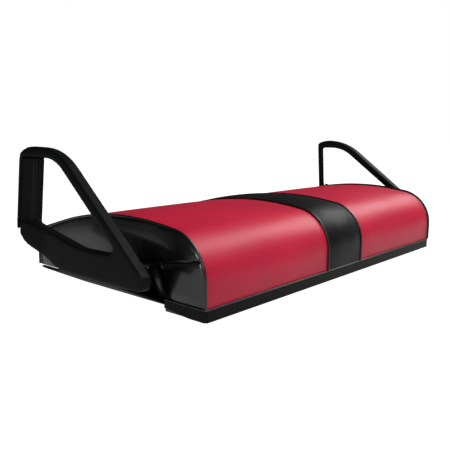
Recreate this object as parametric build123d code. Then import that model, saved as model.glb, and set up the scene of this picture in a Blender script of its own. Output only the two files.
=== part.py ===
from build123d import *
import os
from math import atan2, cos, radians, sin, sqrt, tan

# Front seat bottom of a two-person golf cart: a moulded base, a foam cushion in a sewn cover, a
# hip restraint at each end, and two hinges under the front edge that let the seat tip forward.
# X runs along the seat, -Y is the front, Z is up from the surface that the seat rests on.

# ---- driving dimensions, mm ----
cushion_length = 936.0      # outer face of one end panel to the other
cushion_depth = 530.0       # front face to rear face
crown_height = 145.0        # top of the cushion above the top of the edge trim
foot_height = 14.0          # underside of the base above the surface it rests on
trim_height = 21.0          # edge trim, which is also the height of the base
strip_width = 140.0         # centre strip between the two seat panels
strip_rise = 6.0            # how far the strip stands above the panels
skin = 2.0                  # sewn cover with its backing

# cushion profile, as heights above the trim and setbacks from the front face
shoulder_drop = 21.0        # front corner below the crown
shoulder_radius = 88.0
crest_setback = 262.0
crest_corner_rise = 15.5    # corner point of the crest above the crown
crest_relief = 17.7         # how far the crest's arc passes inside that corner point
rear_drop = 61.0            # rear corner below the crown
rear_radius = 60.0
seam_height = 80.0          # seam between the upper and lower end panels, above the trim

# covers, trim and piping
hem_width = 22.0
trim_thickness = 3.5
trim_corner_radius = 8.0
end_piping_radius = 2.5
strip_piping_radius = 2.5
welt_radius = 2.0
touch = 0.05                # clearance between sewn pieces that lie against each other
corner_touch = 0.15         # clearance of the end piping from the corner that it covers
seam_gap = 0.2

# moulded base
deck_thickness = 5.0
deck_drop = 3.0             # deck's upper face below the top of the trim
rim_thickness = 4.0
staple_flange_width = 16.0
staple_flange_thickness = 3.0
rib_thickness = 3.0
rib_clearance = 3.0         # ribs stop this far above the underside
rib_rows = 5
rib_columns = 9
drain_radius = 5.0

# hip restraint: a moulded loop that leans in over the seat, on a wing bolted under the base
loop_stand_off = 83.0       # inner face of the loop from the end panel, at the top of the trim
loop_lean = 5.26            # degrees inwards
loop_thickness = 24.0
loop_flare = 78.0           # length over which the loop widens to meet its post
loop_front = 50.0           # behind the front face
loop_rear = 438.0
loop_bottom = 38.0          # above the trim
loop_top = 278.0
loop_bar = 22.0             # depth of the top bar
post_width = 42.0
post_thickness = 17.0
post_turn = 32.0            # degrees that the rear post's face turns outboard
post_stand_off = 19.0       # middle of the post from the loop's inner face
post_inset = 16.5           # middle of the post ahead of the loop's rear edge
post_low = 95.0             # lower end of the channel, above the trim
post_channel_depth = 4.0    # shallow channel in the post's wide face
post_rim_inboard = 9.0
post_rim_outboard = 4.0
wing_bend_radius = 14.0
wing_thickness = 6.0
wing_setback = 108.0        # from the front face
wing_length = 264.0
wing_bend_stand_off = -11.0  # where the flange bends up into the wing, from the end panel
flange_inset = 116.0        # inner edge of the flange from the end panel
notch_margin = 4.0
side_recess = 50.0             # the base is narrower from the wing back to the rear

# restraint fasteners
bolt_radius = 4.0
bolt_inset = 68.0           # from the end panel
bolt_pitch = 80.0
bolt_count = 3
bolt_clearance = 0.5
bolt_head_height = 5.5
bolt_head_flats = 13.0
bolt_grip_beyond = 9.0
washer_radius = 8.0
washer_thickness = 1.6
plate_thickness = 3.0
plate_width = 60.0
plate_margin = 25.0
plate_corner_radius = 6.0
nut_flange_radius = 12.0
nut_flange_thickness = 1.5
nut_wall = 1.2
thread_fit = 0.05
foam_pocket_margin = 3.0

# hinges
hinge_inset = 188.0         # middle of each hinge from the end panel
hinge_setback = 45.0        # pin axis behind the front face
hinge_width = 90.0
leaf_length = 50.0
leaf_thickness = 3.0
barrel_clearance = 0.5      # barrel from the base and from the cart
pin_radius = 3.0
pin_fit = 0.05
knuckles = 5
knuckle_gap = 0.5
pin_head_radius = 5.0
pin_head_thickness = 2.0
clip_radius = 4.8
clip_thickness = 0.8
clip_groove_depth = 0.5
clip_mouth = 4.1
pin_tail = 2.4
cart_hole_radius = 4.25
cart_hole_pitch = 50.0
cart_hole_setback = 30.0    # from the pin axis
leaf_screw_radius = 2.0
leaf_screw_pitch = 70.0
leaf_screw_rows = (16.0, 40.0)   # from the pin axis
leaf_screw_end_gap = 2.0    # screw's point below the deck
leaf_screw_head_radius = 4.5
leaf_screw_head_height = 2.4

# rubber feet
foot_radius = 17.0
foot_bottom_radius = 15.0
foot_inset_x = 88.0         # from the end panel
foot_inset_y = 62.0         # from the front and rear faces
foot_bore_radius = 2.6
foot_recess_radius = 7.5
foot_recess_depth = 8.0
foot_screw_radius = 2.5
foot_screw_head_radius = 5.0
foot_screw_head_height = 3.0
foot_screw_end_gap = 1.0    # screw's point below the deck

# staples in the hem
staple_pitch = 30.0
staple_width = 10.0
staple_wire = 0.8
staple_leg = 4.0
staple_inset = 4.8          # from the inner edge of the base's flange

# ---- places worked out from them ----
front = -cushion_depth / 2
rear = cushion_depth / 2
end_x = cushion_length / 2
base_bottom = foot_height
trim_top = base_bottom + trim_height
deck_top = trim_top - deck_drop
deck_bottom = deck_top - deck_thickness
rim_x = end_x - skin
rim_front = front + skin
rim_rear = rear - skin
crown_z = trim_top + crown_height
seam_z = trim_top + seam_height
notch_front = front + wing_setback - notch_margin
pocket_rear = notch_front + wing_length + 2 * notch_margin
recess_x = end_x - side_recess
wing_bend_x = end_x + wing_bend_stand_off
flange_bottom = deck_bottom - wing_thickness
plate_bottom = flange_bottom - plate_thickness
washer_bottom = plate_bottom - washer_thickness
notch_top = deck_top + wing_thickness
hinge_y = front + hinge_setback
hinge_z = foot_height / 2
hinge_x = end_x - hinge_inset
barrel_radius = hinge_z - barrel_clearance
nut_barrel_radius = bolt_radius + nut_wall
post_y = loop_rear - post_inset   # behind the front face
staple_y = cushion_depth / 2 - skin - staple_flange_width + staple_inset
bolt_rows = [front + wing_setback + wing_length / 2 + (i - (bolt_count - 1) / 2) * bolt_pitch
             for i in range(bolt_count)]
bolt_x = end_x - bolt_inset
SIDES = (("left", -1), ("right", 1))

# corners of the restraint's side view: rearwards from the front face, up from the trim, radius
LOOP_OUTLINE = [
    (loop_front, loop_bottom + 4, 14),
    (loop_front + 250, loop_bottom + 4, 120),
    (loop_rear - 33, loop_bottom + 44, 60),
    (loop_rear, loop_bottom + 85, 40),
    (loop_rear, loop_top, 45),
    (loop_rear - 117, loop_top, 170),
    (loop_front, loop_bottom + 30, 12),
]
# the opening runs out past the loop's rear edge, where the turned post closes it
opening_rear = loop_rear + loop_thickness
LOOP_OPENING = [
    (loop_front + 69, loop_bottom + 58, 8),
    (loop_rear - 203, loop_bottom + 56, 150),
    (opening_rear, loop_bottom + 100, 0),
    (opening_rear, loop_top - loop_bar, 0),
    (loop_rear - 110, loop_top - loop_bar, 110),
]

os.makedirs("parts", exist_ok=True)


def save(node, *solids):
    """Write one node's STEP file, from one solid or a group of separate ones."""
    shape = solids[0] if len(solids) == 1 else Compound(children=list(solids))
    export_step(shape, f"parts/{node}.step")


def block(x, y, z):
    """A box between two corners, given as pairs of low and high values."""
    low = [min(pair) for pair in (x, y, z)]
    size = [abs(pair[1] - pair[0]) for pair in (x, y, z)]
    return Pos(*low) * Box(*size, align=(Align.MIN, Align.MIN, Align.MIN))


def rod(radius, x, y, z_low, z_high):
    """An upright cylinder."""
    base = (Align.CENTER, Align.CENTER, Align.MIN)
    return Pos(x, y, z_low) * Cylinder(radius, z_high - z_low, align=base)


def cross_rod(radius, x_low, x_high, y, z):
    """A cylinder along X."""
    base = (Align.CENTER, Align.CENTER, Align.MIN)
    return Pos(x_low, y, z) * Rot(0, 90, 0) * Cylinder(radius, x_high - x_low, align=base)


def on_side(solid, side):
    """Put a solid that was modelled at the +X end on either end."""
    return solid if side > 0 else mirror(solid, about=Plane.YZ)


# ---- cushion ----
def profile_corners(rise, outset, bottom):
    """Corner points and radii of the cushion's profile, from its front face to its rear face."""
    top = crown_z + rise + outset
    points = [
        (front - outset, bottom),
        (front - outset, top - shoulder_drop),
        (front + crest_setback, top + crest_corner_rise),
        (rear + outset, top - rear_drop),
        (rear + outset, bottom),
    ]
    return points, [shoulder_radius + outset, crest_radius() + outset, rear_radius + outset]


def crest_radius():
    """Radius of the arc over the crown, from its corner point and its relief."""
    front_slope = atan2(crest_corner_rise + shoulder_drop, crest_setback)
    rear_slope = atan2(crest_corner_rise + rear_drop, cushion_depth - crest_setback)
    return crest_relief / (1 / cos((front_slope + rear_slope) / 2) - 1)


def profile_path(rise, outset, bottom):
    """The profile as an open path, up the front, over the crown and down the rear."""
    points, radii = profile_corners(rise, outset, bottom)
    return Plane.YZ * FilletPolyline(*points, radius=radii)


def profile_face(rise, inset, bottom):
    """The area under the profile, down to a given height."""
    points, radii = profile_corners(rise, -inset, bottom)
    return Plane.YZ * make_face(FilletPolyline(*points, radius=[0, *radii, 0], close=True))


def slab(face, x_low, x_high):
    """Extrude a face in the YZ plane between two places along X."""
    return Pos(x_low, 0, 0) * extrude(face, amount=x_high - x_low, dir=(1, 0, 0))


def hems(x_low, x_high):
    """The cover's lower edges, turned in under the base at the front and rear."""
    height = (base_bottom - skin, base_bottom)
    return [
        block((x_low, x_high), (front, front + hem_width), height),
        block((x_low, x_high), (rear - hem_width, rear), height),
    ]


def restraint_recess(side, low, high):
    """Room below one end, from the front of the restraint's wing back past the rear face."""
    room = block((recess_x, end_x + skin), (notch_front, rear + skin), (low, high))
    return on_side(room, side)


def cover(x_low, x_high, rise=0.0):
    """A sewn panel that runs up the front, over the top and down the rear."""
    shell = slab(profile_face(rise, 0, base_bottom), x_low, x_high)
    shell -= slab(profile_face(rise, skin, base_bottom), x_low, x_high)
    for hem in hems(x_low, x_high):
        shell += hem
    for _, side in SIDES:
        shell -= restraint_recess(side, 0, notch_top)
    return shell


def foam_core():
    """One moulded block of foam, raised along the centre strip, with pockets over the nuts."""
    core = slab(profile_face(0, skin, deck_top), -rim_x, rim_x)
    core += slab(profile_face(strip_rise, skin, deck_top), -strip_width / 2, strip_width / 2)
    for _, side in SIDES:
        core -= restraint_recess(side, 0, notch_top + skin)
        for y in bolt_rows:
            top = deck_top + nut_flange_thickness + bolt_grip_beyond
            core -= rod(nut_flange_radius + foam_pocket_margin, side * bolt_x, y, 0, top)
    return core


def end_panel(side, low, high):
    """A flat end panel between two heights, inside the end piping."""
    panel = slab(profile_face(0, skin, base_bottom), rim_x, end_x)
    panel &= block((0, cushion_length), (front, rear), (low, high))
    return on_side(panel, side) - restraint_recess(side, 0, notch_top)


def lower_end_panel(side):
    """The lower end panel, turned in under the foam where the base is narrower."""
    turned_in = block((recess_x, rim_x), (notch_front, rim_rear), (notch_top, notch_top + skin))
    return end_panel(side, base_bottom, seam_z) + on_side(turned_in, side)


def piping_along_profile(x, radius, lift):
    """Piping that follows the cushion's profile and stops above the welt on the trim."""
    foot = trim_top + 2 * welt_radius + 2 * touch
    path = Pos(x, 0, 0) * profile_path(0, lift, foot)
    return sweep(Plane(origin=path @ 0, z_dir=path % 0) * Circle(radius), path=path)


# ---- edge trim ----
def plan_ring(outset, width, radius):
    """A rectangular ring in plan around the cover."""
    outer = RectangleRounded(cushion_length + 2 * outset, cushion_depth + 2 * outset, radius)
    inner_size = (cushion_length + 2 * (outset - width), cushion_depth + 2 * (outset - width))
    return outer - Rectangle(*inner_size)


def front_or_rear(ring, part):
    """Keep what lies ahead of the restraints' recesses, or the straight run along the rear."""
    reach = cushion_length
    if part == "front":
        keep = block((-reach, reach), (-reach, notch_front), (-reach, reach))
    else:
        keep = block((-recess_x, recess_x), (0, reach), (-reach, reach))
    return ring & keep


def edge_trim(part):
    ring = extrude(plan_ring(trim_thickness, trim_thickness, trim_corner_radius), trim_height)
    return front_or_rear(Pos(0, 0, base_bottom) * ring, part)


def welt(part):
    """A thin round welt that lies on the trim, against the cover."""
    reach = welt_radius + touch
    z = trim_top + reach
    loop = RectangleRounded(cushion_length + 2 * reach, cushion_depth + 2 * reach, reach)
    path = Pos(0, 0, z) * loop.wire()
    ring = sweep(Plane(origin=path @ 0, z_dir=path % 0) * Circle(welt_radius), path=path)
    return front_or_rear(ring, part)


# ---- base ----
def base_holes():
    """Bores for the nuts, the screws of the feet and hinges, and drain holes in the deck."""
    cuts = []
    for _, side in SIDES:
        cuts += [rod(nut_barrel_radius + thread_fit, side * bolt_x, y, 0, deck_top)
                 for y in bolt_rows]
        cuts += [rod(drain_radius, side * end_x / 2, y, 0, deck_top) for y in (front / 2, 0, rear / 2)]
        for x, y in leaf_screw_places(side):
            cuts.append(rod(leaf_screw_radius + thread_fit, x, y, 0, deck_bottom))
    for x, y in foot_places():
        cuts.append(rod(foot_screw_radius + thread_fit, x, y, 0, deck_bottom))
    return cuts


def seat_base():
    """A moulded tray: deck, rim, flange for the staples, ribs, foot bosses and hinge pads."""
    inside_x = rim_x - rim_thickness
    inside_y = (rim_front + rim_thickness, rim_rear - rim_thickness)
    tray = block((-rim_x, rim_x), (rim_front, rim_rear), (base_bottom, deck_top))
    tray -= block((-inside_x, inside_x), inside_y, (base_bottom, deck_bottom))
    flange = block((-rim_x, rim_x), (rim_front, rim_rear),
                   (base_bottom, base_bottom + staple_flange_thickness))
    flange -= block((-rim_x + staple_flange_width, rim_x - staple_flange_width),
                    (rim_front + staple_flange_width, rim_rear - staple_flange_width),
                    (base_bottom, base_bottom + staple_flange_thickness))
    tray += flange
    rib_z = (base_bottom + rib_clearance, deck_bottom)
    for i in range(rib_rows):
        y = inside_y[0] + (i + 1) * (inside_y[1] - inside_y[0]) / (rib_rows + 1)
        tray += block((-inside_x, inside_x), (y - rib_thickness / 2, y + rib_thickness / 2), rib_z)
    for i in range(rib_columns):
        x = -inside_x + (i + 1) * 2 * inside_x / (rib_columns + 1)
        tray += block((x - rib_thickness / 2, x + rib_thickness / 2), inside_y, rib_z)
    for x, y in foot_places():
        tray += rod(foot_radius, x, y, base_bottom, deck_bottom)
    for _, side in SIDES:
        x = side * hinge_x
        tray += block((x - hinge_width / 2, x + hinge_width / 2),
                      (hinge_y, hinge_y + leaf_length), (base_bottom, deck_bottom))
        tray -= restraint_recess(side, 0, trim_top)
        pocket = block((end_x - flange_inset - notch_margin, end_x), (notch_front, pocket_rear),
                       (0, deck_bottom))
        tray -= on_side(pocket, side)
        rear_rim = block((recess_x - rim_thickness, recess_x), (pocket_rear, rim_rear),
                         (base_bottom, deck_top))
        tray += on_side(rear_rim, side)
    for cut in base_holes():
        tray -= cut
    return tray


# ---- hip restraint ----
def lean_plane():
    """The loop's inner face at the +X end: local x is rearwards and local y is up the lean."""
    lean = radians(loop_lean)
    return Plane(origin=(end_x + loop_stand_off, front, trim_top), x_dir=(0, 1, 0),
                 z_dir=(cos(lean), 0, sin(lean)))


def outline_face(corners):
    """A face from corners given as (rearwards, up, radius)."""
    points = [(y, z) for y, z, _ in corners]
    return make_face(FilletPolyline(*points, radius=[r for _, _, r in corners], close=True))


def leaning_prism(section, low, high):
    """A horizontal section carried up the loop's lean, between two heights above the trim."""
    shift = Vector(-tan(radians(loop_lean)), 0, 1)
    foot = Vector(end_x + loop_stand_off, front, trim_top)
    return loft([Pos(*(foot + shift * z)) * section for z in (low, high)])


def on_post(section):
    """Put a section that is drawn about the post's middle in its place, turned."""
    return Pos(post_stand_off, post_y) * Rot(0, 0, post_turn) * section


def post_corner(outboard, rearward):
    """One corner of the post in plan, from the loop's inner face and from the front face."""
    turn = radians(post_turn)
    along = outboard * post_width / 2
    across = rearward * post_thickness / 2
    return (post_stand_off + along * cos(turn) - across * sin(turn),
            post_y + along * sin(turn) + across * cos(turn))


def loop_plan():
    """The loop in plan: a straight strip that flares at the rear to the width of the turned post."""
    ahead = loop_front - loop_thickness
    flare_start = post_corner(1, -1)[1] - loop_flare
    points = [
        (0, ahead),
        (loop_thickness, ahead),
        (loop_thickness, flare_start),
        post_corner(1, -1),
        post_corner(1, 1),
        post_corner(-1, 1),
        (0, post_corner(-1, -1)[1] - loop_thickness),
    ]
    radii = [0, 0, loop_flare, post_thickness / 4, post_thickness / 4, post_thickness / 4, loop_thickness]
    return make_face(FilletPolyline(*points, radius=radii, close=True))


def post_channel():
    """A shallow channel down the post's wide face, off its middle by the difference of its rims."""
    width = post_width - post_rim_inboard - post_rim_outboard
    middle = (post_rim_inboard - post_rim_outboard) / 2
    groove = Pos(middle, -post_thickness / 2) * RectangleRounded(
        width, 2 * post_channel_depth, post_channel_depth / 2)
    return leaning_prism(on_post(groove), post_low, loop_top - loop_bar)


def wing():
    """The sheet that rises from the flange under the base to the loop's lower edge."""
    middle = flange_bottom + wing_thickness / 2
    x_low = end_x + loop_stand_off + loop_thickness / 2
    path = FilletPolyline(
        (end_x - flange_inset, middle),
        (wing_bend_x, middle),
        (x_low, trim_top + loop_bottom + wing_thickness / 2),
        radius=wing_bend_radius,
    )
    sheet = extrude(Plane.XZ * trace(path, wing_thickness), amount=-wing_length)
    return Pos(0, front + wing_setback, 0) * sheet


def hip_restraint():
    """The whole moulding at the +X end: loop with its turned rear post, wing and flange."""
    plane = lean_plane()
    reach = 2 * post_width
    outline = extrude(plane * outline_face(LOOP_OUTLINE), amount=reach)
    outline += extrude(plane * outline_face(LOOP_OUTLINE), amount=-reach)
    opening = extrude(plane * outline_face(LOOP_OPENING), amount=reach)
    opening += extrude(plane * outline_face(LOOP_OPENING), amount=-reach)
    behind_post = Pos(0, reach - post_thickness / 2) * Rectangle(2 * reach, 2 * reach)
    opening -= leaning_prism(on_post(behind_post), 0, loop_top)
    loop = leaning_prism(loop_plan(), 0, loop_top + loop_bar) & outline
    body = loop - opening - post_channel() + wing()
    for y in bolt_rows:
        body -= rod(bolt_radius + bolt_clearance, bolt_x, y, 0, deck_bottom)
    return body


# ---- places of repeated fasteners ----
def foot_places():
    x = end_x - foot_inset_x
    y = cushion_depth / 2 - foot_inset_y
    return [(sx * x, sy * y) for sx in (-1, 1) for sy in (-1, 1)]


def leaf_screw_places(side):
    x = side * hinge_x
    return [(x + s * leaf_screw_pitch / 2, hinge_y + row) for s in (-1, 1) for row in leaf_screw_rows]


def restraint_plate():
    """A steel plate that spreads the load of the bolt heads under the flange."""
    length = (bolt_count - 1) * bolt_pitch + 2 * plate_margin
    middle = front + wing_setback + wing_length / 2
    plate = Pos(bolt_x, middle, plate_bottom) * extrude(
        RectangleRounded(plate_width, length, plate_corner_radius), plate_thickness)
    for y in bolt_rows:
        plate -= rod(bolt_radius + bolt_clearance, bolt_x, y, 0, deck_bottom)
    return plate


def restraint_bolt(x, y):
    """A hexagon bolt from below, through the plate and flange into its nut."""
    head = extrude(RegularPolygon(bolt_head_flats / 2, 6, major_radius=False), bolt_head_height)
    head = Pos(x, y, washer_bottom - bolt_head_height) * head
    return head + rod(bolt_radius, x, y, washer_bottom, deck_top + bolt_grip_beyond)


def restraint_washer(x, y):
    ring = rod(washer_radius, x, y, washer_bottom, plate_bottom)
    return ring - rod(bolt_radius + bolt_clearance, x, y, 0, deck_bottom)


def tee_nut(x, y):
    """A tee nut dropped through the deck from above, under the foam."""
    nut = rod(nut_barrel_radius, x, y, deck_bottom, deck_top)
    nut += rod(nut_flange_radius, x, y, deck_top, deck_top + nut_flange_thickness)
    return nut - rod(bolt_radius + thread_fit, x, y, 0, crown_z)


# ---- hinges ----
def knuckle_span(x, index):
    """Where one knuckle starts and ends along X."""
    pitch = (hinge_width + knuckle_gap) / knuckles
    low = x - hinge_width / 2 + index * pitch
    return low, low + pitch - knuckle_gap


def hinge_leaf(x, first, plate_z):
    """A flat leaf with every second knuckle of the barrel, starting from one index."""
    clear = barrel_radius + knuckle_gap
    half = hinge_width / 2
    leaf = block((x - half, x + half), (hinge_y + clear, hinge_y + leaf_length), plate_z)
    for index in range(first, knuckles, 2):
        low, high = knuckle_span(x, index)
        leaf += cross_rod(barrel_radius, low, high, hinge_y, hinge_z)
        leaf += block((low, high), (hinge_y, hinge_y + clear), plate_z)
    return leaf - cross_rod(pin_radius + pin_fit, x - half - 1, x + half + 1, hinge_y, hinge_z)


def seat_leaf(side):
    """The leaf that is screwed to the base."""
    x = side * hinge_x
    leaf = hinge_leaf(x, 1, (base_bottom - leaf_thickness, base_bottom))
    for hole_x, hole_y in leaf_screw_places(side):
        leaf -= rod(leaf_screw_radius + bolt_clearance, hole_x, hole_y, 0, base_bottom)
    return leaf


def cart_leaf(side):
    """The leaf that is bolted to the cart; it lies under the seat leaf while the seat is down."""
    x = side * hinge_x
    leaf = hinge_leaf(x, 0, (0, leaf_thickness))
    for s in (-1, 1):
        leaf -= rod(cart_hole_radius, x + s * cart_hole_pitch / 2, hinge_y + cart_hole_setback, -1,
                    leaf_thickness + 1)
    return leaf


def hinge_pin(side):
    """The pin with its head, and a groove for the clip at its tail."""
    x = side * hinge_x
    low = x - hinge_width / 2 - knuckle_gap
    high = x + hinge_width / 2 + knuckle_gap
    pin = cross_rod(pin_radius, low, high + clip_thickness + pin_tail, hinge_y, hinge_z)
    pin += cross_rod(pin_head_radius, low - pin_head_thickness, low, hinge_y, hinge_z)
    groove = cross_rod(pin_radius + 1, high, high + clip_thickness, hinge_y, hinge_z)
    groove -= cross_rod(pin_radius - clip_groove_depth, high, high + clip_thickness, hinge_y, hinge_z)
    return pin - groove


def pin_clip(side):
    """A spring clip in the pin's groove, open towards the front."""
    low = side * hinge_x + hinge_width / 2 + knuckle_gap
    high = low + clip_thickness
    inner = pin_radius - clip_groove_depth + thread_fit
    clip = cross_rod(clip_radius, low, high, hinge_y, hinge_z)
    clip -= cross_rod(inner, low, high, hinge_y, hinge_z)
    mouth = (hinge_y - clip_radius, hinge_y)
    return clip - block((low, high), mouth, (hinge_z - clip_mouth / 2, hinge_z + clip_mouth / 2))


def leaf_screw(x, y):
    """A pan head screw from below, through the seat leaf into the base."""
    head_low = base_bottom - leaf_thickness - leaf_screw_head_height
    head = rod(leaf_screw_head_radius, x, y, head_low, base_bottom - leaf_thickness)
    return head + rod(leaf_screw_radius, x, y, head_low, deck_bottom - leaf_screw_end_gap)


# ---- feet ----
def rubber_foot(x, y):
    """A tapered foot with a recess for its screw's head."""
    base = (Align.CENTER, Align.CENTER, Align.MIN)
    foot = Pos(x, y, 0) * Cone(foot_bottom_radius, foot_radius, foot_height, align=base)
    foot -= rod(foot_recess_radius, x, y, 0, foot_recess_depth)
    return foot - rod(foot_bore_radius, x, y, 0, foot_height)


def foot_screw(x, y):
    head = rod(foot_screw_head_radius, x, y, foot_recess_depth - foot_screw_head_height,
               foot_recess_depth)
    return head + rod(foot_screw_radius, x, y, foot_recess_depth, deck_bottom - foot_screw_end_gap)


# ---- staples ----
def staple(x, y):
    """A staple across the hem, its legs through the hem and into the base's flange."""
    crown_low = base_bottom - skin - staple_wire
    half = staple_width / 2
    wire = (y - staple_wire / 2, y + staple_wire / 2)
    body = block((x - half, x + half), wire, (crown_low, crown_low + staple_wire))
    for s in (-1, 1):
        outer = x + s * half
        body += block((outer - s * staple_wire, outer), wire, (crown_low, crown_low + staple_leg))
    return body


def staples():
    count = int((cushion_length - 2 * staple_pitch) / staple_pitch)
    places = [((i - (count - 1) / 2) * staple_pitch, y)
              for y in (-staple_y, staple_y) for i in range(count)]
    return [staple(x, y) for x, y in places if seam_clear(x) and hem_below(x, y)]


def seam_clear(x):
    """True where a staple at x doesn't cross the joint between two covers."""
    return abs(abs(x) - strip_width / 2) > staple_width


def hem_below(x, y):
    """True where the base's flange and the hem run under a staple."""
    return y < 0 or abs(x) < recess_x - staple_width


# ---- write the nodes ----
save("seat_base", seat_base())
save("foam_core", foam_core())
half_strip = strip_width / 2
save("cover_left", cover(-rim_x, -half_strip))
save("cover_right", cover(half_strip, rim_x))
save("cover_centre_strip", cover(-half_strip + seam_gap, half_strip - seam_gap, strip_rise))
for name, side in SIDES:
    save(f"end_panel_upper_{name}", end_panel(side, seam_z + seam_gap, crown_z))
    save(f"end_panel_lower_{name}", lower_end_panel(side))
    lift = (end_piping_radius + corner_touch) / sqrt(2)
    save(f"end_piping_{name}",
         piping_along_profile(side * (end_x + lift), end_piping_radius, lift))
    reach = strip_piping_radius + touch
    save(f"strip_piping_{name}",
         piping_along_profile(side * (half_strip + reach), strip_piping_radius, reach))
    save(f"hip_restraint_{name}", on_side(hip_restraint(), side))
    save(f"restraint_plate_{name}", on_side(restraint_plate(), side))
    save(f"hinge_seat_leaf_{name}", seat_leaf(side))
    save(f"hinge_cart_leaf_{name}", cart_leaf(side))
    save(f"hinge_pin_{name}", hinge_pin(side))
for part in ("front", "rear"):
    save(f"edge_trim_{part}", edge_trim(part))
    save(f"trim_welt_{part}", welt(part))
bolt_places = [(side * bolt_x, y) for _, side in SIDES for y in bolt_rows]
save("restraint_bolts", *[restraint_bolt(x, y) for x, y in bolt_places])
save("restraint_washers", *[restraint_washer(x, y) for x, y in bolt_places])
save("restraint_tee_nuts", *[tee_nut(x, y) for x, y in bolt_places])
save("hinge_pin_clips", *[pin_clip(side) for _, side in SIDES])
save("hinge_screws", *[leaf_screw(x, y) for _, side in SIDES for x, y in leaf_screw_places(side)])
save("rubber_feet", *[rubber_foot(x, y) for x, y in foot_places()])
save("foot_screws", *[foot_screw(x, y) for x, y in foot_places()])
save("hem_staples", *staples())
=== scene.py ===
# %% [markdown]
# # A golf cart seat bottom with two hip restraints
#
# The CAD frame holds the base, the hinges and the sizes. This lesson adds what a frame cannot show:
# vinyl pulled over foam, piping with a shine on it, stitches, and moulded plastic with soft edges.
# Everything is in metres. X runs along the seat, -Y is the front and Z is up.

# %% Load the frame
import math

import bpy
import numpy as np
from mathutils import Matrix, Vector
from mathutils.geometry import delaunay_2d_cdt


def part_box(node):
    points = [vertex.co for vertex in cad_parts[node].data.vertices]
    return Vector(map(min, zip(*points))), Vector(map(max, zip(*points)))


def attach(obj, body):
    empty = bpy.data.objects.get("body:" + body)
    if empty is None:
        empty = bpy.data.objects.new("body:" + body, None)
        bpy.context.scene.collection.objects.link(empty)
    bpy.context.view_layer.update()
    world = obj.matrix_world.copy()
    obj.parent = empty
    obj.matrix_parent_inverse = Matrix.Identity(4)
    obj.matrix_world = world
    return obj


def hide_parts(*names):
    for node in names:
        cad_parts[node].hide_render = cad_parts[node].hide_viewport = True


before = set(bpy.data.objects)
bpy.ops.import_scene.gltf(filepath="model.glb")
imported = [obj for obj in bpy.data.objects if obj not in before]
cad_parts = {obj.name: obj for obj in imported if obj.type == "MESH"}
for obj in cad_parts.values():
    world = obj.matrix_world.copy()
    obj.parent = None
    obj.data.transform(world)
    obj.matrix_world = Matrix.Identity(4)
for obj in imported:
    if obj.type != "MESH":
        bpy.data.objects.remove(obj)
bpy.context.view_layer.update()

scene = bpy.context.scene

# %% [markdown]
# ## Sizes come from the frame
#
# A new piece fits only if it starts from the same sizes as its neighbours. They could be typed in
# again, but then a changed frame would leave the covers behind. So the outer sizes are read from
# the boxes of the CAD nodes. A box cannot tell a curve, so the corner points and the radii of the
# cushion's side profile are written here.

# %% Read the sizes
cover_low, cover_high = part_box("cover_left")
trim_low, trim_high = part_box("edge_trim_front")
strip_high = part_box("cover_centre_strip")[1]
FRONT, REAR = cover_low.y, cover_high.y
BASE_BOTTOM, TRIM_TOP = trim_low.z, trim_high.z
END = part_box("end_panel_upper_right")[1].x
SKIN = BASE_BOTTOM - cover_low.z
HALF_STRIP = strip_high.x
STRIP_RISE = strip_high.z - cover_high.z
TRIM_THICKNESS = -trim_low.y + FRONT
NOTCH_FRONT = trim_high.y                     # the side trim stops here for the restraint's wing
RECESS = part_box("edge_trim_rear")[1].x        # half the base's length from there back
NOTCH_TOP = TRIM_TOP + 0.003
PROFILE = [(FRONT, BASE_BOTTOM), (FRONT, TRIM_TOP + 0.124), (FRONT + 0.262, TRIM_TOP + 0.1605),
           (REAR, TRIM_TOP + 0.084), (REAR, BASE_BOTTOM)]
PROFILE_RADII = (0.088, 0.8016, 0.060)
print("cushion", round(2 * END, 3), "x", round(REAR - FRONT, 3))
print("base at the rear", round(2 * RECESS, 3))

# %% [markdown]
# ## Camera
#
# The view looks along the seat from its front left corner, a little above it. A long seat seen from
# close by narrows quickly towards its far end, so the camera stands near and the lens is short.
# The camera comes first, because every later choice is judged through it.

# %% Place the camera
CAMERA_PLACE = (-1.1781, -0.9407, 0.3482)
CAMERA_RIGHT = (0.6653, -0.7465, 0.0043)
CAMERA_BACK = (-0.7373, -0.6562, 0.1608)
camera = bpy.data.objects.new("camera", bpy.data.cameras.new("camera"))
scene.collection.objects.link(camera)
camera.data.sensor_width = 36.0
camera.data.lens = 46.7
camera.data.clip_start, camera.data.clip_end = 0.05, 60.0
look_right = Vector(CAMERA_RIGHT).normalized()
look_back = Vector(CAMERA_BACK).normalized()
look_up = look_back.cross(look_right).normalized()
look_right = look_up.cross(look_back)
camera.matrix_world = Matrix.Translation(CAMERA_PLACE) @ Matrix(
    (look_right, look_up, look_back)).transposed().to_4x4()
scene.camera = camera
print("camera at", tuple(round(v, 3) for v in camera.location))

# %% [markdown]
# ## Shared finishes
#
# Vinyl, moulded plastic and worn edges each need the same small effects at different strengths. They
# could be copied into every material. A node group is better: it is built once, its inputs have
# names, and each material sets its own values. The shader itself stays in the material.


# %% A small kit for shader groups
def shader_group(name, inputs, outputs):
    """An empty shader node group with named inputs and outputs."""
    tree = bpy.data.node_groups.new(name, "ShaderNodeTree")
    tree.interface.new_socket("Vector", in_out="INPUT", socket_type="NodeSocketVector")
    for socket, value in inputs.items():
        made = tree.interface.new_socket(socket, in_out="INPUT", socket_type="NodeSocketFloat")
        made.default_value = value
    for socket in outputs:
        tree.interface.new_socket(socket, in_out="OUTPUT", socket_type="NodeSocketFloat")
    return tree, tree.nodes.new("NodeGroupInput"), tree.nodes.new("NodeGroupOutput")


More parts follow.
